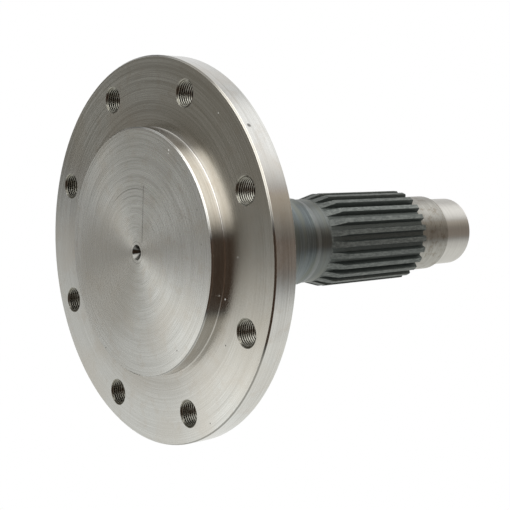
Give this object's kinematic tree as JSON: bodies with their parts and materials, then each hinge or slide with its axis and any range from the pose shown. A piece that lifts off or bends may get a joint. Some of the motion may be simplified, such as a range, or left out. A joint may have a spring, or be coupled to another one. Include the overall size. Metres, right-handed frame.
{
  "type": "planetary gear shaft",
  "caption": "Flanged steel drive shaft with a pilot boss, a ring of threaded bolt holes, a tapered neck, an involute spline and two stepped bearing journals.",
  "frame": {"origin": "centre of the pilot boss's flat face, which the shaft stands on", "axes": "+Z along the shaft from the boss to the free end, +X through the centre of one bolt hole"},
  "size_m": [0.2364, 0.2364, 0.2847],
  "materials": {
    "machined_steel": "turned flange and ground journals, with a dark hobbed spline and a blue-grey neck"
  },
  "bodies": {
    "root": {"planetary_gear_shaft": "machined_steel"}
  },
  "joints": []
}
